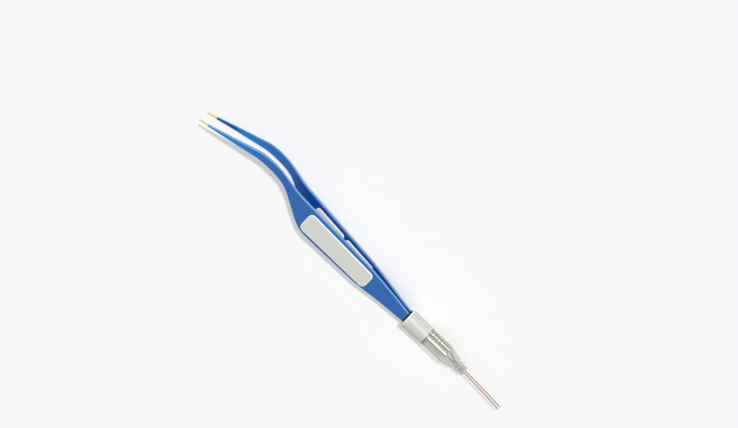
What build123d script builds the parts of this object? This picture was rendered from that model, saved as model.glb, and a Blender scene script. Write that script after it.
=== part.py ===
"""Bayonet bipolar forceps with a moulded boot and a short stub of its twin lead.

Two mirrored spring arms come out of a round collar, widen into a padded grip, step up and then slope down
to bare electrode tips. Behind the collar a clear boot holds the two contacts and the lead's conductors.

Lengths are in millimetres. While the pieces are made, x = 0 is the collar's mouth with +X to the tips, +Y is
the belly side of the arms, and z = 0 is the middle plane between them. At the end everything moves together,
so that the origin lies under the middle of the forceps, on the surface that they lie on.
"""

import math
import os

from build123d import *

# Arm seen from the side: half spread of the two arms and thickness of the blade along its length
root_spread = 2.1
root_thickness = 2.4
flex_start = 6.0
flat_rear_x = 28.0
flat_rear_spread = 3.0
flat_rear_thickness = 2.6
flat_front_x = 90.0
flat_front_spread = 5.98
flat_front_thickness = 2.8
bulge_x = 132.0
bulge_spread = 7.3
bulge_thickness = 2.0
blade_end = 167.7
end_spread = 6.7
end_thickness = 1.3
end_lean_angle = 2.6

# Arm seen from above: distance of the top edge and of the belly edge from the forceps' axis
tang_top = 3.2
tang_belly = 2.7
mouth_top = 3.45
mouth_belly = 2.9
neck_x = 24.0
neck_top = 7.4
neck_belly = 4.3
grip_rear_x = 42.0
grip_rear_top = 9.75
grip_rear_belly = 5.65
grip_front_top_x = 96.0
grip_front_top = 13.8
grip_front_belly_x = 79.0
grip_front_belly = 4.65
step_low_x = 92.0
step_low_rise = 0.2
step_high_x = 104.0
step_high_rise = 8.4
crest_x = 123.0
crest_top = 18.4
crest_width = 5.05
slope_x = 134.0
slope_top = 17.1
slope_width = 4.65
end_top = 5.65
end_width = 1.3
blade_edge_bevel = 0.3

# Bare electrode at each tip
electrode_exposed = 6.4
electrode_root_diameter = 0.7
electrode_diameter = 1.1
electrode_tip_diameter = 0.9
electrode_buried = 8.0
nose_length = 0.3
nose_flat = 0.6
electrode_plan_angle = 13.8

# Grip pads on the flat stretch of each arm
outer_pad_start = 31.9
outer_pad_end = 85.8
outer_pad_thickness = 0.6
inner_pad_start = 35.2
inner_pad_end = 85.5
inner_pad_gap = 2.0
inner_pad_thickness = 0.6
pad_rear_top = 7.4
pad_rear_belly = 4.55
pad_front_top = 11.2
pad_front_belly = 2.7
inner_pad_margin = 0.5
outer_pad_corner = 3.0
inner_pad_corner = 1.8
corner_flat_count = 3
pad_bevel_height = 0.35
pad_bevel_width = 0.7

# Collar round the roots of the arms
collar_length = 16.3
collar_front_diameter = 12.8
collar_rear_diameter = 11.9
collar_bore = 10.4
collar_lip_bevel = 0.35
fit_clearance = 0.05
seat_clearance = 0.02
tang_clearance = 0.1
plug_thickness = 3.5
tang_plug_gap = 0.3
spacer_mouth_gap = 2.5

# Contacts, crimps and conductors
contact_pitch = 6.4
contact_lift = 1.4
contact_diameter = 3.8
contact_stem_diameter = 2.4
contact_length = 16.9
contact_chamfer = 0.3
cup_depth = 5.0
cup_wall = 0.5
cup_window = 2.5
conductor_diameter = 0.65
strand_count = 6
strand_clearance = 0.05
cup_straight = 2.0
neck_straight = 3.2
channel_width = 1.2
bend_share = 0.45

# Clear boot with grip ribs and two strain relief rings
boot_diameter = 11.8
boot_body_length = 16.3
cone_length = 8.6
cone_end_diameter = 7.5
neck_diameter = 5.4
ring_1_start = 26.1
ring_1_width = 2.9
ring_1_diameter = 7.1
ring_2_start = 29.8
ring_2_width = 2.3
ring_2_diameter = 6.4
ring_edge_bevel = 0.4
rib_count = 6
rib_pitch = 2.4
groove_width = 0.9
groove_depth = 0.3
first_groove = 1.6
rib_half_height = 4.1

# Twin lead: pitch of its two cores, diameter of each clear skin, and where it starts in the boot
lead_pitch = 2.35
skin_diameter = 2.4
lead_start = 25.5

# Route of the free lead behind the boot, as steps from the point where it leaves the last ring
lead_route = [(-14.0, 0.75, -0.2), (-31.0, 2.85, -1.4)]

# Places along the forceps' axis that several pieces share
exit_x = -(collar_length + ring_2_start + ring_2_width)
plug_front = plug_thickness - collar_length
tang_end = plug_front + tang_plug_gap
contact_rear = -(collar_length + contact_length)


def smooth(points, start_slope=None, end_slope=None):
    """A smooth edge through plan points, with its slope set at both ends."""
    start = None if start_slope is None else (1, start_slope)
    end = None if end_slope is None else (1, end_slope)
    return Spline(*points, tangents=[start, end])


def slope_between(a, b):
    """Rise over run from one plan point to another."""
    return (b[1] - a[1]) / (b[0] - a[0])


def beyond(end, slope):
    """Point a little past the blade's end, where the blank is cut off square to the electrode."""
    return (end[0] + end_width, end[1] + slope * end_width)


def top_edge():
    """Top edge of an arm in plan, from the tang's end to the blade's end."""
    tang_rear = (tang_end, -tang_top)
    mouth = (0, -mouth_top)
    neck = (neck_x, -neck_top)
    grip_rear = (grip_rear_x, -grip_rear_top)
    grip_front = (grip_front_top_x, -grip_front_top)
    crest = (crest_x, -crest_top)
    slope = (slope_x, -slope_top)
    end = (blade_end, -end_top)
    grip_slope = slope_between(grip_rear, grip_front)
    run_slope = slope_between(slope, end)
    return [
        Line(tang_rear, mouth),
        smooth([mouth, neck, grip_rear], end_slope=grip_slope, start_slope=slope_between(mouth, neck)),
        Line(grip_rear, grip_front),
        smooth([grip_front, crest], grip_slope, 0),
        smooth([crest, slope], 0, run_slope),
        Line(slope, beyond(end, run_slope)),
    ]


def belly_edge():
    """Belly edge of an arm in plan, from the tang's end to the blade's end."""
    tang_rear = (tang_end, tang_belly)
    mouth = (0, mouth_belly)
    neck = (neck_x, neck_belly)
    grip_rear = (grip_rear_x, grip_rear_belly)
    grip_front = (grip_front_belly_x, grip_front_belly)
    step_low = (step_low_x, -step_low_rise)
    step_high = (step_high_x, -step_high_rise)
    crest = (crest_x, crest_width - crest_top)
    slope = (slope_x, slope_width - slope_top)
    end = (blade_end, end_width - end_top)
    grip_slope = slope_between(grip_rear, grip_front)
    run_slope = slope_between(slope, end)
    return [
        Line(tang_rear, mouth),
        smooth([mouth, neck, grip_rear], slope_between(mouth, neck), grip_slope),
        Line(grip_rear, grip_front),
        smooth([grip_front, step_low, step_high, crest], grip_slope, 0),
        smooth([crest, slope], 0, run_slope),
        Line(slope, beyond(end, run_slope)),
    ]


def closed_face(high, low):
    """Face between two edges that both run from the tang to the tip, closed by a line at each end."""
    rear = Line(low[0] @ 0, high[0] @ 0)
    front = Line(high[-1] @ 1, low[-1] @ 1)
    return make_face(Wire([*high, front, *low, rear]))


def blade_face_edge(side):
    """Outer face (side 1) or inner face (side -1) of the upper blade, seen from the side as x and height."""
    half = side / 2
    tang = (tang_end, root_spread + half * root_thickness)
    flex = (flex_start, root_spread + half * root_thickness)
    flat_rear = (flat_rear_x, flat_rear_spread + half * flat_rear_thickness)
    flat_front = (flat_front_x, flat_front_spread + half * flat_front_thickness)
    bulge = (bulge_x, bulge_spread + half * bulge_thickness)
    end = (blade_end, end_spread + half * end_thickness)
    flat_slope = slope_between(flat_rear, flat_front)
    end_slope = -math.tan(math.radians(end_lean_angle))
    return [
        Line(tang, flex),
        smooth([flex, flat_rear], 0, flat_slope),
        Line(flat_rear, flat_front),
        smooth([flat_front, bulge], flat_slope, 0),
        smooth([bulge, end], 0, end_slope),
        Line(end, beyond(end, end_slope)),
    ]


def electrode_frame():
    """Plane at the blade's end whose normal points along the electrode."""
    plan = math.radians(electrode_plan_angle)
    lean = math.radians(end_lean_angle)
    direction = Vector(math.cos(plan), math.sin(plan), -math.tan(lean))
    origin = (blade_end, end_width / 2 - end_top, end_spread)
    return Plane(origin=origin, x_dir=(0, 0, 1), z_dir=direction)


def upper_blade():
    """Insulated blade: the plan outline cut to the side profile, with a bore for the electrode's root."""
    tall = bulge_spread + bulge_thickness
    wide = crest_top + grip_rear_belly
    blank = extrude(closed_face(top_edge(), belly_edge()), tall)
    slab = extrude(Plane.XZ * closed_face(blade_face_edge(1), blade_face_edge(-1)), wide, both=True)
    blade = blank & slab
    long_edges = [e for e in blade.edges() if e.bounding_box().size.X > end_width / 2]
    blade = chamfer(long_edges, blade_edge_bevel)
    below = (Align.CENTER, Align.CENTER, Align.MAX)
    above = (Align.CENTER, Align.CENTER, Align.MIN)
    bore = Cylinder(electrode_root_diameter / 2 + seat_clearance, electrode_buried, align=below)
    front = Box(4 * end_width, 4 * end_width, 4 * end_width, align=above)
    return blade - electrode_frame() * bore - electrode_frame() * front


def upper_electrode():
    """Bare tip: a thin root in the blade, and a tapered rod with a blunt nose."""
    outline = [
        (0, -electrode_buried),
        (electrode_root_diameter / 2, -electrode_buried),
        (electrode_root_diameter / 2, 0),
        (electrode_diameter / 2, 0),
        (electrode_tip_diameter / 2, electrode_exposed - nose_length),
        (nose_flat * electrode_tip_diameter / 2, electrode_exposed),
        (0, electrode_exposed),
    ]
    half = Plane.XZ * make_face(Polyline(*outline, close=True))
    return electrode_frame() * revolve(half, Axis.Z)


def flat_plane(side):
    """Plane on the flat stretch of the upper blade's outer (1) or inner (-1) face, normal away from it."""
    half = side / 2
    rear = (flat_rear_x, flat_rear_spread + half * flat_rear_thickness)
    front = (flat_front_x, flat_front_spread + half * flat_front_thickness)
    rise = slope_between(rear, front)
    along = Vector(1, 0, rise)
    normal = Vector(-rise, 0, 1) * side
    return Plane(origin=(rear[0], 0, rear[1]), x_dir=along, z_dir=normal)


def pad_edge_at(x, rear_value, front_value):
    """Distance of the pad's edge from the axis, which changes evenly along the outer pad."""
    share = (x - outer_pad_start) / (outer_pad_end - outer_pad_start)
    return rear_value + share * (front_value - rear_value)


def with_flats(face):
    """The same face with a few short flats for each round corner."""
    points = []
    for edge in face.face().outer_wire().order_edges():
        steps = 1 if edge.geom_type == GeomType.LINE else corner_flat_count
        points += [edge @ (i / steps) for i in range(steps)]
    return make_face(Polyline(*points, close=True))


def pad(side, start, end, margin, corner, thickness):
    """Grip pad on one flat: a tapered outline with round corners and a wide bevel round its top."""
    plane = flat_plane(side)
    outline = []
    for x in (start, end):
        top = margin - pad_edge_at(x, pad_rear_top, pad_front_top)
        belly = pad_edge_at(x, pad_rear_belly, pad_front_belly) - margin
        outline.append([(x, top), (x, belly)])
    rise = plane.x_dir.Z / plane.x_dir.X
    corners = [*outline[0], *reversed(outline[1])]
    local = [plane.to_local_coords(Vector(x, y, plane.origin.Z + (x - flat_rear_x) * rise)) for x, y in corners]
    face = make_face(Polyline(*[(p.X, p.Y) for p in local], close=True))
    face = with_flats(fillet(face.vertices(), corner))
    solid = extrude(face, thickness, dir=(0, 0, 1))
    rim = solid.faces().sort_by(Axis.Z)[-1]
    solid = chamfer(rim.edges(), pad_bevel_width, pad_bevel_height, reference=rim)
    return plane * solid


def inner_pads():
    """Front and rear pad on the inner face, with a narrow gap between them."""
    middle = (inner_pad_start + inner_pad_end) / 2
    rear = pad(-1, inner_pad_start, middle - inner_pad_gap / 2, inner_pad_margin, inner_pad_corner,
               inner_pad_thickness)
    front = pad(-1, middle + inner_pad_gap / 2, inner_pad_end, inner_pad_margin, inner_pad_corner,
                inner_pad_thickness)
    return front, rear


def turned(points):
    """Solid of revolution round the forceps' axis, from (x, radius) points."""
    return revolve(make_face(Polyline(*points, close=True)), Axis.X)


def collar():
    """Round sleeve, tapered a little to the rear, with a bevelled lip round its mouth."""
    front = collar_front_diameter / 2
    rear = collar_rear_diameter / 2
    bore = collar_bore / 2
    sleeve = turned([(0, bore), (0, front), (-collar_length, rear), (-collar_length, bore)])
    lip = sleeve.edges().group_by(Axis.X)[-1]
    return chamfer(lip, collar_lip_bevel)


def filler_radius():
    """Radius of what fills the collar's bore."""
    return collar_bore / 2 - fit_clearance


def along_axis(radius, front_x, rear_x, y=0, z=0):
    """Round bar parallel to the forceps' axis between two places."""
    bar = Cylinder(radius, front_x - rear_x, rotation=(0, 90, 0))
    return Pos((front_x + rear_x) / 2, y, z) * bar


def spacer():
    """Insulating web that keeps the two tangs apart, as wide as the collar's bore."""
    half = root_spread - root_thickness / 2 - tang_clearance
    bar = along_axis(filler_radius(), -spacer_mouth_gap, plug_front)
    web = Pos((plug_front - spacer_mouth_gap) / 2, 0, 0) * Box(collar_length, collar_bore, 2 * half)
    return bar & web


def contact_places():
    """Name, y and z of the two contacts."""
    return [("upper", -contact_lift, contact_pitch / 2), ("lower", -contact_lift, -contact_pitch / 2)]


def rear_plug():
    """Insulating disc in the rear of the collar that both contacts pass through."""
    disc = along_axis(filler_radius(), plug_front, -collar_length)
    for _, y, z in contact_places():
        radius = contact_stem_diameter / 2 + seat_clearance
        disc -= along_axis(radius, 0, -2 * collar_length, y, z)
    return disc


def contact(y, z):
    """Turned contact: a thin stem in the plug, a thick barrel, and a solder cup with a window at the rear."""
    rear = contact_rear
    stem = along_axis(contact_stem_diameter / 2, plug_front, -collar_length, y, z)
    barrel = along_axis(contact_diameter / 2, -collar_length, rear, y, z)
    barrel = chamfer(barrel.edges().filter_by(GeomType.CIRCLE), contact_chamfer)
    cup = along_axis(contact_diameter / 2 - cup_wall, rear + cup_depth, rear, y, z)
    window = Box(2 * cup_window, contact_diameter, 2 * contact_diameter)
    window = Pos(rear, y + contact_diameter / 2 + cup_wall, z) * window
    return stem + barrel - cup - window


def crimp(y, z):
    """Ferrule in a contact's cup, with a hole for the conductor."""
    rear = contact_rear
    outside = contact_diameter / 2 - cup_wall - seat_clearance
    hole = conductor_diameter / 2 + seat_clearance
    return along_axis(outside, rear + cup_depth, rear, y, z) - along_axis(hole, rear + cup_depth, rear, y, z)


def boot_outline():
    """Outside of the boot as (x, radius) points from the collar to the last ring."""
    body_end = -(collar_length + boot_body_length)
    cone_end = body_end - cone_length
    points = [(-collar_length, 0), (-collar_length, boot_diameter / 2), (body_end, boot_diameter / 2)]
    points += [(cone_end, cone_end_diameter / 2), (cone_end, neck_diameter / 2)]
    for start, width, diameter in (
        (ring_1_start, ring_1_width, ring_1_diameter),
        (ring_2_start, ring_2_width, ring_2_diameter),
    ):
        front = -(collar_length + start)
        rear = front - width
        outside = diameter / 2
        shoulder = outside - ring_edge_bevel
        points += [(front, neck_diameter / 2), (front, shoulder), (front - ring_edge_bevel, outside)]
        points += [(rear + ring_edge_bevel, outside), (rear, shoulder), (rear, neck_diameter / 2)]
    return points[:-1] + [(exit_x, 0)]


def grip_grooves():
    """Grooves across the top and the belly side of the boot, which leave the grip ribs between them."""
    grooves = []
    for i in range(rib_count):
        middle = -(collar_length + first_groove + i * rib_pitch)
        inside = boot_diameter / 2 - groove_depth
        ring = along_axis(boot_diameter, middle + groove_width / 2, middle - groove_width / 2)
        ring -= along_axis(inside, middle + groove_width, middle - groove_width)
        grooves.append(ring & Pos(middle, 0, 0) * Box(rib_pitch, 4 * boot_diameter, 2 * rib_half_height))
    return grooves


def channel(points):
    """Space in the boot for a conductor: a square slot along each run, lengthened to meet the next one."""
    slots = []
    for a, b in zip(points, points[1:]):
        long = (b - a).length + channel_width / 2
        slot = Box(channel_width, channel_width, long, align=(Align.CENTER, Align.CENTER, Align.MIN))
        slots.append(Plane(origin=a, z_dir=b - a) * slot)
    return slots


def boot():
    """Clear moulding round both contacts, with a channel for each conductor and for the lead."""
    solid = turned(boot_outline())
    for groove in grip_grooves():
        solid -= groove
    for _, y, z in contact_places():
        solid -= along_axis(contact_diameter / 2 + seat_clearance, 0, contact_rear, y, z)
        for slot in channel(conductor_path(y, z)[:4]):
            solid -= slot
    radius = skin_diameter / 2 + seat_clearance
    for z in (-lead_pitch / 2, lead_pitch / 2):
        solid -= along_axis(radius, -(collar_length + lead_start), 2 * exit_x, 0, z)
    return solid


def lead_points(z):
    """Route of one core of the lead, from inside the boot to its free end."""
    start = Vector(-(collar_length + lead_start), 0, z)
    leaves = Vector(exit_x, 0, z)
    return [start, leaves, *[leaves + Vector(*step) for step in lead_route]]


def conductor_path(y, z):
    """Route of one conductor, from its crimp through the boot and along its core of the lead."""
    core = math.copysign(lead_pitch / 2, z)
    first = Vector(contact_rear + cup_depth, y, z)
    leaves_cup = Vector(contact_rear - cup_straight, y, z)
    joins = Vector(neck_straight - collar_length - lead_start, 0, core)
    return [first, leaves_cup, joins, *lead_points(core)[1:]]


def route_line(points):
    """Straight runs through the points, joined by tangent arcs as large as the runs allow."""
    radii = []
    for a, b, c in zip(points, points[1:], points[2:]):
        turn = math.radians((b - a).get_angle(c - b))
        radii.append(bend_share * min((b - a).length, (c - b).length) / math.tan(turn / 2))
    return FilletPolyline(*points, radius=radii)


def carried_along(section, points):
    """Solid that a section makes as it is carried along a route, run by run and arc by arc."""
    path = route_line(points)
    side = Vector(0, 1, 0)
    solid = None
    for edge in path.order_edges():
        ahead = edge % 0
        face = Plane(origin=edge @ 0, x_dir=side, z_dir=ahead) * section
        if edge.geom_type == GeomType.LINE:
            run = extrude(face, edge.length, dir=ahead)
        else:
            axis = Axis(edge.arc_center, ahead.cross(edge % 1))
            angle = ahead.get_angle(edge % 1)
            run = revolve(face, axis, angle)
            side = side.rotate(Axis((0, 0, 0), axis.direction), angle)
        solid = run if solid is None else solid + run
    return solid


def bundle(clearance=0):
    """Section of a conductor, or of the hole round it, with a corner for each outer strand."""
    return RegularPolygon(conductor_diameter / 2 + clearance, strand_count)


def lead():
    """Clear figure-of-eight skin of the twin lead, with a hole along each core."""
    near = Pos(0, -lead_pitch / 2)
    far = Pos(0, lead_pitch / 2)
    skins = near * Circle(skin_diameter / 2) + far * Circle(skin_diameter / 2)
    section = skins - near * bundle(strand_clearance) - far * bundle(strand_clearance)
    return carried_along(section, lead_points(0))


def build():
    """Every piece by its node's name, and the names of those that belong to the free lead."""
    nodes = {}
    front_pad, rear_pad = inner_pads()
    arm = {
        "blade": upper_blade(),
        "electrode": upper_electrode(),
        "outer_pad": pad(1, outer_pad_start, outer_pad_end, 0, outer_pad_corner, outer_pad_thickness),
        "inner_front_pad": front_pad,
        "inner_rear_pad": rear_pad,
    }
    for name, solid in arm.items():
        nodes["upper_" + name] = solid
        nodes["lower_" + name] = mirror(solid, about=Plane.XY)
    nodes["collar"] = collar()
    nodes["spacer"] = spacer()
    nodes["rear_plug"] = rear_plug()
    nodes["boot"] = boot()
    for side, y, z in contact_places():
        nodes[side + "_contact"] = contact(y, z)
        nodes[side + "_crimp"] = crimp(y, z)
        nodes[side + "_conductor"] = carried_along(bundle(), conductor_path(y, z))
    nodes["lead"] = lead()
    return nodes, ["lead", "upper_conductor", "lower_conductor"]


def main():
    nodes, free = build()
    box = Compound([solid for name, solid in nodes.items() if name not in free]).bounding_box()
    rest = Pos(-box.center().X, -box.center().Y, -box.min.Z)
    os.makedirs("parts", exist_ok=True)
    for name, solid in nodes.items():
        export_step(rest * solid, "parts/" + name + ".step")
    print("moved by", -box.center().X, -box.center().Y, -box.min.Z)
    print("box", box.size)


main()
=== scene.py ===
"""Finishes, twin lead and stage for a pair of bayonet bipolar forceps.

The forceps lies on its side on a pale floor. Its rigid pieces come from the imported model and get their
finishes here. The free lead is made here as a clear figure-of-eight skin over two bundles of twisted copper
strands.

Lengths are in metres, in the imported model's own frame: +X to the tips, +Y to the belly side of the arms and
+Z up.
"""

import math

import bmesh
import bpy
from bpy.props import FloatProperty, FloatVectorProperty, IntProperty, PointerProperty
from mathutils import Matrix, Vector


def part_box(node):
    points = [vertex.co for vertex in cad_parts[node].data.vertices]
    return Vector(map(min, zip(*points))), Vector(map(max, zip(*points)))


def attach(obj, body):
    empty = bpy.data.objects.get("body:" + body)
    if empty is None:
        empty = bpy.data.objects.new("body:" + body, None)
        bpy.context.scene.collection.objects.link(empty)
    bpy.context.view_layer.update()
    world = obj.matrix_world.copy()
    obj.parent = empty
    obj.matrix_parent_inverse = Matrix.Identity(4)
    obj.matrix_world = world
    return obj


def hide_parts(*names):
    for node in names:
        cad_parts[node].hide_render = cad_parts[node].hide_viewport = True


bl_info = {
    "name": "Bayonet forceps",
    "version": (1, 0, 0),
    "blender": (4, 5, 0),
    "location": "3D View > Sidebar > Forceps",
    "description": "Finishes the forceps' pieces, makes its twin lead and sets the stage",
    "category": "Object",
}

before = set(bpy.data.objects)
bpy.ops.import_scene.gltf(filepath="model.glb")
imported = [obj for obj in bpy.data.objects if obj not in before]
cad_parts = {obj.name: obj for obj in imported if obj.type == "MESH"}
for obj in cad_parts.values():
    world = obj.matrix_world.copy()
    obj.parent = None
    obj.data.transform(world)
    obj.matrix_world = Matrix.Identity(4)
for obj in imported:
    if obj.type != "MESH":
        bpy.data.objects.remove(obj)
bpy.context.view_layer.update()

SIDES = ("upper", "lower")
MM = 0.001
WHITE = (1, 1, 1)


def colour(name, description, value):
    """A colour that a user may change."""
    return FloatVectorProperty(name=name, description=description, subtype="COLOR", size=3, min=0, max=1,
                               default=value)


def length(name, description, value):
    """A length that a user may change."""
    return FloatProperty(name=name, description=description, unit="LENGTH", min=0, precision=5,
                         default=value)


def angle(name, description, degrees):
    """An angle that a user may change."""
    return FloatProperty(name=name, description=description, unit="ROTATION", default=math.radians(degrees))


class ForcepsColours(bpy.types.PropertyGroup):
    """Colours of the pieces and of the stage."""

    coat: colour("Coat", "Blue insulating coat on the blades", (0.022, 0.135, 0.440))
    coat_tip: colour("Coat near the tips", "Blue coat where the blades are thin", (0.008, 0.210, 0.560))
    # Painted highlight: lighter blue on the blades' narrow edges.
    coat_edge_highlight: colour("Coat on the edges", "Shiny coat on the blades' narrow edges", (0.170, 0.380, 0.720))
    # Painted shade: darker blue on the blades' bevels.
    coat_bevel_shade: colour("Coat on the bevels", "Blue coat on the bevelled edges", (0.004, 0.115, 0.430))
    # Painted highlight: bright blue on the thin ends' edges and on the lower blade's thin-end bevels.
    coat_thin_end_highlight: colour("Bright coat", "Bright blue coat on the thin ends' edges", (0.010, 0.260, 0.620))
    # Painted highlight: a pale streak on the upper blade's thin-end bevels.
    coat_streak_highlight: colour("Streak", "Pale streak on the upper blade's thin end", (0.260, 0.540, 0.850))
    # Painted shade: darker blue on the faces between the arms.
    coat_inside_shade: colour("Coat inside", "Blue coat between the arms", (0.003, 0.065, 0.290))
    # Painted shade: darker still on the faces between the arms near the tips.
    coat_end_shade: colour("Coat at the ends", "Dark blue coat inside, near the tips", (0.004, 0.040, 0.210))
    # Dark colour painted round the arms at the collar's mouth and over the collar's bore.
    mouth_dark: colour("Mouth_dark", "Dark sealant round the arms at the collar's mouth", (0.010, 0.008, 0.006))
    gold: colour("Gold", "Bare electrode tips", (0.800, 0.600, 0.170))
    pad: colour("Pad", "Flat top of the grip pads", (0.680, 0.690, 0.645))
    # Painted highlight: pale ivory on the pads' bevelled rims and sides.
    pad_rim_highlight: colour("Pad rim", "Bevelled rim and sides of the grip pads", (0.920, 0.920, 0.820))
    collar: colour("Collar", "Round collar", (0.610, 0.620, 0.575))
    lip: colour("Lip", "Front lip of the collar", (0.900, 0.900, 0.860))
    inside: colour("Insulator", "Dark insulator inside the collar", (0.010, 0.010, 0.012))
    boot: colour("Boot", "Clear moulded boot", (0.540, 0.560, 0.510))
    boot_rear: colour("Boot's rear", "Clear plastic of the boot's neck and rings", (0.560, 0.580, 0.580))
    boot_shade: colour("Boot's front", "Shaded plastic at the boot's front and in its top grooves",
                      (0.160, 0.150, 0.105))
    contact: colour("Contact", "Turned contacts", (0.620, 0.590, 0.480))
    crimp: colour("Crimp", "Brass ferrules in the contacts", (0.520, 0.400, 0.170))
    copper: colour("Copper", "Strands of the two conductors", (0.370, 0.155, 0.006))
    skin: colour("Skin", "Clear skin of the lead", (0.880, 0.940, 0.950))
    floor: colour("Floor", "Pale floor, as far as lamps light it", (0.640, 0.640, 0.640))
    floor_glow: colour("Floor glow", "Floor's brightness that no shadow takes away", (0.345, 0.345, 0.345))
    backdrop: colour("Backdrop", "Pale background beyond the floor", (0.930, 0.930, 0.930))


class ForcepsLead(bpy.types.PropertyGroup):
    """Sizes of the free twin lead."""

    pitch: length("Pitch", "Distance between the two cores", 2.35 * MM)
    skin: length("Skin diameter", "Diameter of the clear skin round one core", 2.4 * MM)
    conductor: length("Conductor diameter", "Diameter of one bundle of strands", 0.65 * MM)
    lay: length("Lay", "Length of lead in which a strand goes round once", 7.0 * MM)
    strands: IntProperty(name="Strands", description="Outer strands in a bundle", min=3, max=19, default=6)


class ForcepsStage(bpy.types.PropertyGroup):
    """Camera and light."""

    lens: FloatProperty(name="Lens", description="Focal length in millimetres", min=1, default=89.43)
    distance: length("Distance", "Distance from the camera to what it aims at", 1.1)
    turn: angle("Turn", "Camera's place round the upright axis, from the top side of the arms", 2.104)
    height: angle("Height", "Camera's height over the floor", 60.01)
    roll: angle("Roll", "Camera's turn about its own line of sight", -138.14)
    lamp_lean: angle("Lamp lean", "Lamp's lean from straight above, to the top side of the arms", 40)
    lamp_spread: angle("Lamp spread", "Angle over which the lamp is seen, which softens the shadow", 4)
    lamp_strength: FloatProperty(name="Lamp strength", description="Light that the lamp sheds", min=0,
                                 default=2.2)
    sky: FloatProperty(name="Sky light", description="Mean strength of the light from above", min=0,
                       default=0.40)


class ForcepsSettings(bpy.types.PropertyGroup):
    """Everything that the sidebar shows."""

    colours: PointerProperty(type=ForcepsColours)
    lead: PointerProperty(type=ForcepsLead)
    stage: PointerProperty(type=ForcepsStage)


def settings():
    """Settings of the open scene."""
    return bpy.context.scene.bayonet_forceps


class Value:
    """A value that changes from place to place. Arithmetic on it adds Math nodes."""

    def __init__(self, nodes, socket):
        self.nodes = nodes
        self.socket = socket

    def maths(self, operation, *values):
        inputs = dict(enumerate(values))
        return self.nodes.node("ShaderNodeMath", {"operation": operation}, inputs)["Value"]

    def __add__(self, other):
        return self.maths("ADD", self, other)

    def __radd__(self, other):
        return self.maths("ADD", other, self)

    def __sub__(self, other):
        return self.maths("SUBTRACT", self, other)

    def __rsub__(self, other):
        return self.maths("SUBTRACT", other, self)

    def __mul__(self, other):
        return self.maths("MULTIPLY", self, other)

    def __rmul__(self, other):
        return self.maths("MULTIPLY", other, self)

    def __pow__(self, power):
        return self.maths("POWER", self, power)

    def __abs__(self):
        return self.maths("ABSOLUTE", self)

    def or_more(self, other):
        """The larger of this value and another."""
        return self.maths("MAXIMUM", self, other)

    def rising(self, low, high):
        """0 below the low value and 1 above the high one, with a smooth change between."""
        inputs = {"Value": self, "From Min": low, "From Max": high}
        return self.nodes.node("ShaderNodeMapRange", {"interpolation_type": "SMOOTHSTEP"}, inputs)["Result"]


class Nodes:
    """The nodes of a material or of the world."""

    def __init__(self, tree):
        self.tree = tree

    def node(self, kind, options=None, inputs=None):
        """Adds a node, sets it and feeds it, and gives its outputs by name."""
        made = self.tree.nodes.new(kind)
        for name, value in (options or {}).items():
            setattr(made, name, value)
        for name, value in (inputs or {}).items():
            self.feed(made.inputs[name], value)
        return {socket.name: Value(self, socket) for socket in made.outputs if socket.enabled}

    def feed(self, socket, value):
        """Links a value to a socket, or sets a constant on it."""
        if isinstance(value, Value):
            self.tree.links.new(value.socket, socket)
        else:
            socket.default_value = value


GRAIN_DETAIL = 3
SOFT_DETAIL = 2
BEVEL_SAMPLES = 6
# Places of the Mix node's two colours among its inputs
MIX_FIRST = 6
MIX_SECOND = 7


class Finish(Nodes):
    """A material that is being put together."""

    def __init__(self, name):
        self.material = bpy.data.materials.new(name)
        self.material.use_nodes = True
        super().__init__(self.material.node_tree)
        self.shader = self.tree.nodes["Principled BSDF"]
        self.where = self.node("ShaderNodeTexCoord")
        self.place = self.node("ShaderNodeSeparateXYZ", inputs={"Vector": self.where["Object"]})
        self.facing = self.node("ShaderNodeSeparateXYZ", inputs={"Vector": self.where["Normal"]})

    def surface(self, **sockets):
        """Sets the shader's sockets, whose names are written here with _ for each space."""
        for name, value in sockets.items():
            self.feed(self.shader.inputs[name.replace("_", " ")], value)

    def blend(self, share, first, second):
        """Colour that goes from the first to the second as the share goes from 0 to 1."""
        inputs = {"Factor": share, MIX_FIRST: opaque(first), MIX_SECOND: opaque(second)}
        return self.node("ShaderNodeMix", {"data_type": "RGBA"}, inputs)["Result"]

    def grain(self, size, detail=GRAIN_DETAIL, stretch=(1, 1, 1)):
        """Noise with grains of the given size, longer or shorter along each axis."""
        scaled = {"Vector": self.where["Object"], "Scale": tuple(1 / (size * s) for s in stretch)}
        vector = self.node("ShaderNodeMapping", {"vector_type": "POINT"}, scaled)["Vector"]
        inputs = {"Vector": vector, "Scale": 1, "Detail": detail}
        return next(iter(self.node("ShaderNodeTexNoise", inputs=inputs).values()))

    def bumped(self, height, depth, edge=0.0):
        """Normal that a height gives, over edges that look rounded by the edge radius."""
        inputs = {"Height": height, "Distance": depth, "Strength": 1}
        if edge:
            rounded = self.node("ShaderNodeBevel", {"samples": BEVEL_SAMPLES}, {"Radius": edge})
            inputs["Normal"] = rounded["Normal"]
        return self.node("ShaderNodeBump", inputs=inputs)["Normal"]

    def behind_mouth(self):
        """Distance behind the collar's mouth."""
        return mouth().x - self.place["X"]

    def from_axis(self):
        """Distance from the collar's own axis."""
        return ((self.place["Y"] - mouth().y) ** 2 + (self.place["Z"] - mouth().z) ** 2) ** 0.5


def opaque(value):
    """A colour with its fourth number, or a value as it is."""
    return value if isinstance(value, Value) else (*value, 1)


def between(low, high, share):
    """Number that goes from low to high as the share goes from 0 to 1."""
    return low + (high - low) * share


def dress(names, finish):
    """Gives CAD nodes a finish."""
    for name in names:
        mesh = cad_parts[name].data
        mesh.materials.clear()
        mesh.materials.append(finish.material)


def centre(name):
    """Middle of a CAD node's box."""
    low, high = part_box(name)
    return (Vector(low) + Vector(high)) / 2


def mouth():
    """Middle of the collar's mouth."""
    middle = centre("collar")
    return Vector((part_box("collar")[1][0], middle.y, middle.z))


# Blades and electrodes

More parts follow.
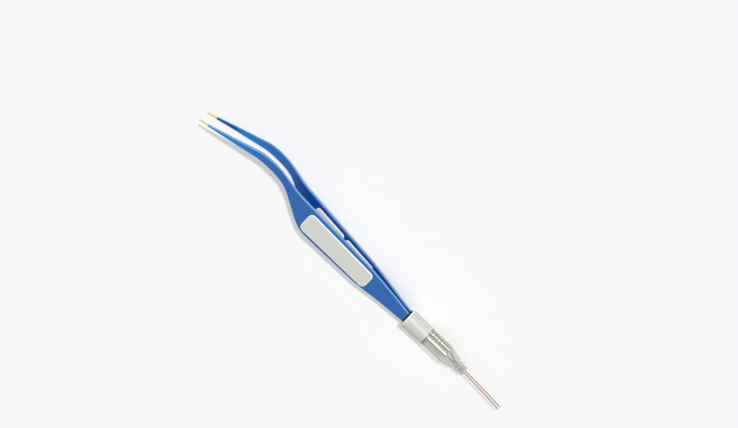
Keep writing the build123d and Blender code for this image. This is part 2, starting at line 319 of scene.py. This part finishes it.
BEVEL_FACING = (0.35, 0.55)
EDGE_FACING = (0.80, 0.90)
THIN_END_FADE = (116 * MM, 132 * MM)
INNER_FACING = (0.6, 0.9)
INSIDE_FADE = (100 * MM, 118 * MM)
MOUTH_DARK_WIDTH = 0.9 * MM
MOUTH_DARK_FADE = 0.15 * MM
TIP_COLOUR_START = 118 * MM
TIP_COLOUR_END = 158 * MM
END_FADE = (148 * MM, 158 * MM)
COAT_GRAIN = 0.45 * MM
COAT_GRAIN_DEPTH = 0.006 * MM
COAT_EDGE = 0.25 * MM
COAT_ROUGHNESS = (0.28, 0.38)
COAT_SPECULAR = 0.25
GLOSS_WEIGHT = 0.1
GLOSS_ROUGHNESS = 0.12
MOTTLE = 9 * MM
MOTTLE_RANGE = (0.3, 0.8)
MOTTLE_TINT = (0.93, 0.95, 0.96)
BRUSH_WIDTH = 0.06 * MM
BRUSH_STRETCH = (1, 12, 12)
BRUSH_DEPTH = 0.004 * MM
BRUSH_ROUGHNESS = (0.20, 0.32)


def coat_finish():
    """Smooth dip-coated blue plastic, a little brighter near the tips, with painted highlights on its edges
    and thin ends and painted shade on its bevels and between the arms.
    """
    look = settings().colours
    finish = Finish("blue_coat")
    along = finish.place["X"] - mouth().x
    share = along.rising(TIP_COLOUR_START, TIP_COLOUR_END)
    mottle = finish.grain(MOTTLE)
    tint = finish.blend(share, look.coat, look.coat_tip)
    above = finish.place["Z"].rising(mouth().z - MM, mouth().z + MM)
    thin_end = along.rising(*THIN_END_FADE)
    # Painted light on the bevels: shade away from the thin ends, a highlight on the lower blade's thin end
    # and a pale streak on the upper blade's.
    bevel = finish.blend(thin_end, look.coat_bevel_shade, finish.blend(above, look.coat_thin_end_highlight, look.coat_streak_highlight))
    # Painted highlight on the narrow edges, brighter at the thin ends.
    edge = finish.blend(thin_end, look.coat_edge_highlight, look.coat_thin_end_highlight)
    sideways = abs(finish.facing["Y"])
    tint = finish.blend(sideways.rising(*BEVEL_FACING), tint, bevel)
    tint = finish.blend(sideways.rising(*EDGE_FACING), tint, edge)
    # Painted shade on the faces between the arms, darkest near the tips.
    inward = finish.facing["Z"] * (1 - 2 * above)
    inward = inward.rising(*INNER_FACING)
    tint = finish.blend(inward * (1 - along.rising(*INSIDE_FADE)), tint, look.coat_inside_shade)
    tint = finish.blend(inward, tint, finish.blend(along.rising(*END_FADE), tint, look.coat_end_shade))
    # Dark band round the arms at the collar's mouth.
    tint = finish.blend(along.rising(MOUTH_DARK_WIDTH, MOUTH_DARK_WIDTH + MOUTH_DARK_FADE), look.mouth_dark, tint)
    deep = finish.blend(mottle.rising(*MOTTLE_RANGE), MOTTLE_TINT, WHITE)
    mixed = finish.node("ShaderNodeMix", {"data_type": "RGBA", "blend_type": "MULTIPLY"},
                        {"Factor": 1, MIX_FIRST: tint, MIX_SECOND: deep})["Result"]
    fine = finish.grain(COAT_GRAIN)
    finish.surface(Base_Color=mixed, Roughness=between(*COAT_ROUGHNESS, fine),
                   Specular_IOR_Level=COAT_SPECULAR, Coat_Weight=GLOSS_WEIGHT,
                   Coat_Roughness=GLOSS_ROUGHNESS, Normal=finish.bumped(fine, COAT_GRAIN_DEPTH, COAT_EDGE))
    return finish


def gold_finish():
    """Polished gold-coloured metal with fine turning marks."""
    finish = Finish("gold_tip")
    lines = finish.grain(BRUSH_WIDTH, SOFT_DETAIL, BRUSH_STRETCH)
    finish.surface(Base_Color=(*settings().colours.gold, 1), Metallic=1.0,
                   Roughness=between(*BRUSH_ROUGHNESS, lines), Normal=finish.bumped(lines, BRUSH_DEPTH))
    return finish


class FORCEPS_OT_arms(bpy.types.Operator):
    """Finish the two coated blades and their bare tips"""

    bl_idname = "forceps.arms"
    bl_label = "Blades and tips"

    def execute(self, context):
        dress([side + "_blade" for side in SIDES], coat_finish())
        dress([side + "_electrode" for side in SIDES], gold_finish())
        return {"FINISHED"}


# Grip pads

PAD_FLAT = (0.93, 0.97)
PAD_GRAIN = 0.30 * MM
PAD_GRAIN_DEPTH = 0.02 * MM
PAD_CLOUD = 12 * MM
PAD_CLOUD_DEPTH = 0.04
PAD_EDGE = 0.15 * MM
PAD_ROUGHNESS = (0.60, 0.75)
PAD_SPECULAR = 0.3


def pad_finish():
    """Matt soft plastic, with a painted highlight on its bevelled rim and sides."""
    look = settings().colours
    finish = Finish("grip_pad")
    flat = abs(finish.facing["Z"]).rising(*PAD_FLAT)
    cloud = finish.grain(PAD_CLOUD, SOFT_DETAIL)
    darker = [(1 - PAD_CLOUD_DEPTH) * part for part in look.pad]
    paler = [min(1, (1 + PAD_CLOUD_DEPTH) * part) for part in look.pad]
    top = finish.blend(cloud, darker, paler)
    fine = finish.grain(PAD_GRAIN)
    # Painted highlight on every face of the pad that is not flat.
    finish.surface(Base_Color=finish.blend(flat, look.pad_rim_highlight, top), Roughness=between(*PAD_ROUGHNESS, fine),
                   Specular_IOR_Level=PAD_SPECULAR, Normal=finish.bumped(fine, PAD_GRAIN_DEPTH, PAD_EDGE))
    return finish


class FORCEPS_OT_pads(bpy.types.Operator):
    """Finish the grip pads"""

    bl_idname = "forceps.pads"
    bl_label = "Grip pads"

    def execute(self, context):
        pads = ("outer_pad", "inner_front_pad", "inner_rear_pad")
        dress([side + "_" + pad for side in SIDES for pad in pads], pad_finish())
        return {"FINISHED"}


# Collar

LIP_WIDTH = 0.9 * MM
LIP_FADE = 0.2 * MM
COLLAR_GRAIN = 0.5 * MM
COLLAR_GRAIN_DEPTH = 0.01 * MM
COLLAR_EDGE = 0.35 * MM
COLLAR_ROUGHNESS = (0.38, 0.50)
INSULATOR_ROUGHNESS = (0.55, 0.75)
BORE_RADIUS = (5.21 * MM, 5.24 * MM)


def collar_finish():
    """Satin grey moulding whose front lip is paler, dark in its bore."""
    look = settings().colours
    finish = Finish("collar_grey")
    body = finish.behind_mouth().rising(LIP_WIDTH, LIP_WIDTH + LIP_FADE)
    outside = finish.blend(body, look.lip, look.collar)
    # The collar's bore is painted in the same dark colour.
    tint = finish.blend(finish.from_axis().rising(*BORE_RADIUS), look.mouth_dark, outside)
    fine = finish.grain(COLLAR_GRAIN)
    finish.surface(Base_Color=tint, Roughness=between(*COLLAR_ROUGHNESS, fine),
                   Normal=finish.bumped(fine, COLLAR_GRAIN_DEPTH, COLLAR_EDGE))
    return finish


def insulator_finish():
    """Matt dark insulator."""
    finish = Finish("inner_plastic")
    fine = finish.grain(COLLAR_GRAIN)
    finish.surface(Base_Color=(*settings().colours.inside, 1), Roughness=between(*INSULATOR_ROUGHNESS, fine),
                   Normal=finish.bumped(fine, COLLAR_GRAIN_DEPTH))
    return finish


class FORCEPS_OT_collar(bpy.types.Operator):
    """Finish the collar and the insulators inside it"""

    bl_idname = "forceps.collar"
    bl_label = "Collar"

    def execute(self, context):
        dress(["collar"], collar_finish())
        dress(["spacer", "rear_plug"], insulator_finish())
        return {"FINISHED"}


# Contacts

TURNING_MARK = 0.05 * MM
TURNING_STRETCH = (1, 20, 20)
TURNING_DEPTH = 0.001 * MM
CONTACT_ROUGHNESS = (0.30, 0.40)
CRIMP_ROUGHNESS = (0.35, 0.45)


def turned_finish(name, value, roughness):
    """Turned metal with fine marks round it."""
    finish = Finish(name)
    marks = finish.grain(TURNING_MARK, SOFT_DETAIL, TURNING_STRETCH)
    finish.surface(Base_Color=(*value, 1), Metallic=1.0, Roughness=between(*roughness, marks),
                   Normal=finish.bumped(marks, TURNING_DEPTH))
    return finish


class FORCEPS_OT_contacts(bpy.types.Operator):
    """Finish the contacts and their ferrules"""

    bl_idname = "forceps.contacts"
    bl_label = "Contacts"

    def execute(self, context):
        look = settings().colours
        metal = turned_finish("contact_metal", look.contact, CONTACT_ROUGHNESS)
        brass = turned_finish("crimp_brass", look.crimp, CRIMP_ROUGHNESS)
        dress([side + "_contact" for side in SIDES], metal)
        dress([side + "_crimp" for side in SIDES], brass)
        return {"FINISHED"}


# Boot

CLEAR_FACE = 0.25
CLEAR_EDGE = 0.45
EDGE_BLEND = 0.5
CLEAR_CLOUD = 6 * MM
BOOT_CLOUDING = 0.05
CLEAR_ROUGHNESS = (0.20, 0.25)
CLEAR_GRAIN = 1.5 * MM
CLEAR_GRAIN_DEPTH = 0.003 * MM
BOOT_FRONT = 16.3 * MM
FRONT_SHADE = 0.3 * MM
FRONT_SHADE_END = 1.0 * MM
FRONT_TINT = 0.8
FRONT_VEIL = 0.4
BELLY_SIDE = (1.0 * MM, 3.5 * MM)
BELLY_SHADE_LENGTH = 3.5 * MM
BELLY_VEIL = 0.35
BODY_END = 32.4 * MM
BODY_END_FADE = 0.003 * MM
GROOVE_FLOOR = (5.50 * MM, 5.58 * MM)
GROOVE_TOP = (5.68 * MM, 5.80 * MM)
GROOVE_TINT = 0.5
GROOVE_VEIL = 0.2
NECK_FADE = (38 * MM, 42 * MM)


def edge_on(finish):
    """0 where a surface faces the eye and 1 where it is seen edge on, with a slow rise."""
    return finish.node("ShaderNodeLayerWeight", inputs={"Blend": EDGE_BLEND})["Facing"] ** 2


def boot_finish():
    """Clear soft plastic with painted shade at its front and in its top grooves, and whiter at its neck."""
    look = settings().colours
    finish = Finish("clear_boot")
    back = finish.behind_mouth()
    radius = finish.from_axis()
    belly = (finish.place["Y"] - mouth().y).rising(*BELLY_SIDE)
    front = 1 - (back - BOOT_FRONT).rising(FRONT_SHADE, FRONT_SHADE_END + BELLY_SHADE_LENGTH * belly)
    body = 1 - back.rising(BODY_END, BODY_END + BODY_END_FADE)
    groove = radius.rising(*GROOVE_FLOOR) * (1 - radius.rising(*GROOVE_TOP)) * body * (1 - belly)
    neck = back.rising(*NECK_FADE)
    tint = finish.blend(neck, look.boot, look.boot_rear)
    # Painted shade at the front, reaching further back on the belly side, and in the top grooves.
    tint = finish.blend(FRONT_TINT * front + GROOVE_TINT * groove, tint, look.boot_shade)
    cloud = finish.grain(CLEAR_CLOUD)
    fine = finish.grain(CLEAR_GRAIN)
    clear = CLEAR_FACE + CLEAR_EDGE * edge_on(finish) + BOOT_CLOUDING * cloud
    clear = clear + FRONT_VEIL * front + BELLY_VEIL * front * belly + GROOVE_VEIL * groove
    finish.surface(Base_Color=tint, Alpha=clear, Roughness=between(*CLEAR_ROUGHNESS, fine),
                   Normal=finish.bumped(fine, CLEAR_GRAIN_DEPTH))
    return finish


class FORCEPS_OT_boot(bpy.types.Operator):
    """Finish the clear boot"""

    bl_idname = "forceps.boot"
    bl_label = "Boot"

    def execute(self, context):
        dress(["boot"], boot_finish())
        return {"FINISHED"}


# Free lead, which starts in the boot and is cut off square at its far end

LEAD_START = 6.6 * MM
LEAD_STEPS = ((-14.0 * MM, 0.75 * MM, -0.2 * MM), (-31.0 * MM, 2.85 * MM, -1.4 * MM))
LEAD_ROLLS = (0, math.radians(14), math.radians(22))
CRIMP_DEPTH = 5.0 * MM
CUP_STRAIGHT = 2.0 * MM
NECK_STRAIGHT = 3.2 * MM
LINE_STEPS = 16
LINE_ORDER = 3
SKIN_SIDES = 48
STRAND_SIDES = 8
STRAND_PROUD = 0.15 * MM
STRANDS_ACROSS = 3
SKIN_FACE = 0.02
SKIN_EDGE = 0.2
SKIN_CLOUDING = 0.02
SKIN_SPECULAR = 0.1
STRAND_MARK = 0.05 * MM
STRAND_MARK_STRETCH = (20, 1, 1)
STRAND_MARK_DEPTH = 0.004 * MM
COPPER_ROUGHNESS = (0.28, 0.40)


def smooth_line(name, points):
    """Points along the smooth line that a route's points steer."""
    curve = bpy.data.curves.new(name, "CURVE")
    curve.dimensions = "3D"
    curve.resolution_u = LINE_STEPS
    spline = curve.splines.new("NURBS")
    spline.points.add(len(points) - 1)
    for spot, point in zip(spline.points, points):
        spot.co = (*point, 1)
    spline.order_u = LINE_ORDER
    spline.use_endpoint_u = True
    holder = bpy.data.objects.new(name, curve)
    bpy.context.scene.collection.objects.link(holder)
    mesh = bpy.data.meshes.new_from_object(holder)
    line = [vertex.co.copy() for vertex in mesh.vertices]
    bpy.data.meshes.remove(mesh)
    bpy.data.objects.remove(holder)
    bpy.data.curves.remove(curve)
    return line


def travelled(line):
    """Distance from the start of a line to each of its points."""
    distances = [0.0]
    for a, b in zip(line, line[1:]):
        distances.append(distances[-1] + (b - a).length)
    return distances


def frames_along(line, lean_at):
    """Two directions across a line at each point: one square to a leaning direction, and one close to it."""
    frames = []
    for i in range(len(line)):
        ahead = (line[min(i + 1, len(line) - 1)] - line[max(i - 1, 0)]).normalized()
        level = lean_at(i).cross(ahead).normalized()
        frames.append((level, ahead.cross(level)))
    return frames


def ring(middle, across, sides, reach_at):
    """Points round a middle, each as far from it as its direction asks."""
    level, upright = across
    points = []
    for i in range(sides):
        turn = 2 * math.pi * i / sides
        points.append(middle + reach_at(turn) * (math.cos(turn) * level + math.sin(turn) * upright))
    return points


def placed(name, mesh):
    """Object that holds a mesh, in the open scene."""
    data = bpy.data.meshes.new(name)
    mesh.to_mesh(data)
    mesh.free()
    made = bpy.data.objects.new(name, data)
    bpy.context.scene.collection.objects.link(made)
    return made


def tube(name, rings):
    """Closed mesh object through rings of points, smooth along its sides and flat at its ends."""
    mesh = bmesh.new()
    loops = [[mesh.verts.new(point) for point in points] for points in rings]
    for one, two in zip(loops, loops[1:]):
        for i in range(len(one)):
            j = (i + 1) % len(one)
            mesh.faces.new((one[i], one[j], two[j], two[i])).smooth = True
    mesh.faces.new(list(reversed(loops[0])))
    mesh.faces.new(loops[-1])
    bmesh.ops.recalc_face_normals(mesh, faces=mesh.faces)
    return placed(name, mesh)


def joined(name, parts):
    """One object from several."""
    mesh = bmesh.new()
    for part in parts:
        mesh.from_mesh(part.data)
        data = part.data
        bpy.data.objects.remove(part)
        bpy.data.meshes.remove(data)
    return placed(name, mesh)


def exit_point():
    """Where the lead leaves the boot."""
    middle = mouth()
    return Vector((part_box("boot")[0][0], middle.y, middle.z))


def free_route(across):
    """Route's points outside the boot, moved across the lead, which rolls a little towards its end."""
    points = []
    for step, roll in zip(((0, 0, 0), *LEAD_STEPS), LEAD_ROLLS):
        shift = across * Vector((0, math.sin(roll), math.cos(roll)))
        points.append(exit_point() + Vector(step) + shift)
    return points


def figure_of_eight(turn, pitch, diameter):
    """Distance of the double skin's surface from the lead's middle, in a direction across it."""
    reach = pitch / 2 * math.sin(turn)
    half_chord = math.sqrt((diameter / 2) ** 2 - (pitch / 2 * math.cos(turn)) ** 2)
    return abs(reach) + half_chord


def core_line(across):
    """Line of one core of the lead, or of its middle, from inside the boot to its free end."""
    start = exit_point() + Vector((LEAD_START, 0, across))
    return smooth_line("core_line", [start, *free_route(across)])


def skin_piece():
    """Clear skin round both cores."""
    sizes = settings().lead
    middle = core_line(0)
    upper = core_line(sizes.pitch / 2)

    def reach(turn):
        return figure_of_eight(turn, sizes.pitch, sizes.skin)

    frames = frames_along(middle, lambda i: upper[i] - middle[i])
    rings = [ring(point, across, SKIN_SIDES, reach) for point, across in zip(middle, frames)]
    return tube("lead_skin", rings)


def strand(name, line, offset, start, thickness):
    """One strand that winds round a line."""
    lay = settings().lead.lay
    frames = frames_along(line, lambda i: Vector((0, 0, 1)))
    rings = []
    for point, (level, upright), distance in zip(line, frames, travelled(line)):
        turn = start + 2 * math.pi * distance / lay
        middle = point + offset * (math.cos(turn) * level + math.sin(turn) * upright)
        rings.append(ring(middle, (level, upright), STRAND_SIDES, lambda around: thickness / 2))
    return tube(name, rings)


def bundle(side, line):
    """Twisted bundle of strands along a line: one in the middle and the others round it."""
    sizes = settings().lead
    thickness = sizes.conductor / STRANDS_ACROSS
    parts = [strand("core", line, 0, 0, thickness)]
    for i in range(sizes.strands):
        start = 2 * math.pi * i / sizes.strands
        parts.append(strand("strand", line, thickness, start, thickness))
    return joined(side + "_strands", parts)


def conductor_points(side):
    """Route of one conductor, from its ferrule through the boot and along the lead."""
    sizes = settings().lead
    middle = mouth()
    contact = centre(side + "_contact")
    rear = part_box(side + "_contact")[0][0]
    across = math.copysign(sizes.pitch / 2, contact.z - middle.z)
    joins = exit_point() + Vector((LEAD_START + NECK_STRAIGHT, 0, across))
    first = Vector((rear + CRIMP_DEPTH, contact.y, contact.z))
    leaves_cup = Vector((rear - CUP_STRAIGHT, contact.y, contact.z))
    return [first, leaves_cup, joins, *free_route(across)]


def proud(line):
    """The line with its far end a little longer, so that the cut end shows."""
    ahead = (line[-1] - line[-2]).normalized()
    return [*line, line[-1] + STRAND_PROUD * ahead]


def skin_finish():
    """Very clear soft plastic that shows a little more of itself where it is seen edge on."""
    finish = Finish("clear_skin")
    cloud = finish.grain(CLEAR_CLOUD)
    fine = finish.grain(CLEAR_GRAIN)
    finish.surface(Base_Color=(*settings().colours.skin, 1), Specular_IOR_Level=SKIN_SPECULAR,
                   Alpha=SKIN_FACE + SKIN_EDGE * edge_on(finish) + SKIN_CLOUDING * cloud,
                   Roughness=between(*CLEAR_ROUGHNESS, fine), Normal=finish.bumped(fine, CLEAR_GRAIN_DEPTH))
    return finish


def copper_finish():
    """Bright copper with drawing marks along each strand."""
    finish = Finish("copper_strand")
    marks = finish.grain(STRAND_MARK, SOFT_DETAIL, STRAND_MARK_STRETCH)
    finish.surface(Base_Color=(*settings().colours.copper, 1), Metallic=1.0,
                   Roughness=between(*COPPER_ROUGHNESS, marks),
                   Normal=finish.bumped(marks, STRAND_MARK_DEPTH))
    return finish


class FORCEPS_OT_lead(bpy.types.Operator):
    """Make the free twin lead and its two conductors"""

    bl_idname = "forceps.lead"
    bl_label = "Lead"

    def execute(self, context):
        copper = copper_finish()
        for side in SIDES:
            line = proud(smooth_line(side + "_core_line", conductor_points(side)))
            piece = bundle(side, line)
            piece.data.materials.append(copper.material)
            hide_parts(side + "_conductor")
            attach(piece, "root")
        line = core_line(0)
        skin = skin_piece()
        skin.data.materials.append(skin_finish().material)
        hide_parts("lead")
        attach(skin, "root")
        travelled(line)[-1]
        return {"FINISHED"}


# Stage

AIM = Vector((60.583 * MM, -33.794 * MM, 0))
FLOOR_SIZE = 6.0
FLOOR_ROUGHNESS = 0.9
LAMP_DISTANCE = 1.0
ZENITH_GAIN = 2
SENSOR = 36


def paint_world(look, sky):
    """World that lights mostly from above, and shows the backdrop to the camera and in reflections."""
    world = bpy.data.worlds.new("studio")
    world.use_nodes = True
    world.node_tree.nodes.clear()
    studio = Nodes(world.node_tree)
    path = studio.node("ShaderNodeLightPath")
    seen = path["Is Camera Ray"].or_more(path["Is Glossy Ray"]).or_more(path["Is Transmission Ray"])
    where = studio.node("ShaderNodeTexCoord")
    height = studio.node("ShaderNodeSeparateXYZ", inputs={"Vector": where["Generated"]})["Z"]
    strength = height * height * (ZENITH_GAIN * sky)
    light = studio.node("ShaderNodeBackground", inputs={"Color": opaque(WHITE), "Strength": strength})
    shown = studio.node("ShaderNodeBackground", inputs={"Color": opaque(look.backdrop)})
    halves = {"Fac": seen, 1: light["Background"], 2: shown["Background"]}
    mixed = studio.node("ShaderNodeMixShader", inputs=halves)["Shader"]
    studio.node("ShaderNodeOutputWorld", inputs={"Surface": mixed})
    bpy.context.scene.world = world


def lay_floor(look):
    """Wide pale floor under the forceps."""
    half = FLOOR_SIZE / 2
    data = bpy.data.meshes.new("floor")
    corners = [(-half, -half, 0), (half, -half, 0), (half, half, 0), (-half, half, 0)]
    data.from_pydata(corners, [], [(0, 1, 2, 3)])
    floor = bpy.data.objects.new("floor", data)
    bpy.context.scene.collection.objects.link(floor)
    finish = Finish("floor")
    finish.surface(Base_Color=(*look.floor, 1), Roughness=FLOOR_ROUGHNESS, Specular_IOR_Level=0.0,
                   Emission_Color=(*look.floor_glow, 1), Emission_Strength=1.0)
    data.materials.append(finish.material)


def hang_lamp(stage):
    """Far soft lamp over the top side of the arms, which lights the whole floor alike."""
    lamp = bpy.data.lights.new("lamp", "SUN")
    lamp.angle = stage.lamp_spread
    lamp.energy = stage.lamp_strength
    towards = Vector((0, -math.sin(stage.lamp_lean), math.cos(stage.lamp_lean)))
    holder = bpy.data.objects.new("lamp", lamp)
    holder.rotation_euler = towards.to_track_quat("Z", "Y").to_euler()
    holder.location = mouth() + LAMP_DISTANCE * towards
    bpy.context.scene.collection.objects.link(holder)


def place_camera(stage):
    """Camera over the top side of the arms, aimed as the photograph was."""
    level = math.cos(stage.height)
    back = Vector((level * math.sin(stage.turn), -level * math.cos(stage.turn), math.sin(stage.height)))
    right = Vector((0, 0, 1)).cross(back).normalized()
    up = back.cross(right)
    rolled_right = math.cos(stage.roll) * right + math.sin(stage.roll) * up
    rolled_up = back.cross(rolled_right)
    data = bpy.data.cameras.new("camera")
    data.lens = stage.lens
    data.sensor_width = SENSOR
    camera = bpy.data.objects.new("camera", data)
    turned = Matrix((rolled_right, rolled_up, back)).transposed().to_4x4()
    camera.matrix_world = Matrix.Translation(mouth() + AIM + stage.distance * back) @ turned
    bpy.context.scene.collection.objects.link(camera)
    bpy.context.scene.camera = camera


class FORCEPS_OT_stage(bpy.types.Operator):
    """Lay the floor, light it and place the camera"""

    bl_idname = "forceps.stage"
    bl_label = "Stage"

    def execute(self, context):
        look = settings().colours
        stage = settings().stage
        context.scene.view_settings.view_transform = "Standard"
        lay_floor(look)
        paint_world(look, stage.sky)
        hang_lamp(stage)
        place_camera(stage)
        return {"FINISHED"}


OPERATORS = (FORCEPS_OT_stage, FORCEPS_OT_lead, FORCEPS_OT_arms, FORCEPS_OT_pads, FORCEPS_OT_collar,
             FORCEPS_OT_contacts, FORCEPS_OT_boot)


class FORCEPS_PT_sidebar(bpy.types.Panel):
    """Sidebar with every step and setting."""

    bl_idname = "FORCEPS_PT_sidebar"
    bl_label = "Forceps"
    bl_space_type = "VIEW_3D"
    bl_region_type = "UI"
    bl_category = "Forceps"

    def draw(self, context):
        for operator in OPERATORS:
            self.layout.operator(operator.bl_idname)
        for group in (settings().colours, settings().lead, settings().stage):
            box = self.layout.box()
            for name in group.bl_rna.properties.keys():
                if name not in ("rna_type", "name"):
                    box.prop(group, name)


CLASSES = (ForcepsColours, ForcepsLead, ForcepsStage, ForcepsSettings, *OPERATORS, FORCEPS_PT_sidebar)


def register():
    for cls in CLASSES:
        bpy.utils.register_class(cls)
    bpy.types.Scene.bayonet_forceps = PointerProperty(type=ForcepsSettings)


def unregister():
    del bpy.types.Scene.bayonet_forceps
    for cls in reversed(CLASSES):
        bpy.utils.unregister_class(cls)


def write_sizes():
    """Updates the view layer."""
    bpy.context.view_layer.update()


def main():
    register()
    bpy.ops.forceps.stage()
    bpy.ops.forceps.lead()
    bpy.ops.forceps.arms()
    bpy.ops.forceps.pads()
    bpy.ops.forceps.collar()
    bpy.ops.forceps.contacts()
    bpy.ops.forceps.boot()
    write_sizes()


if __name__ == "__main__":
    main()
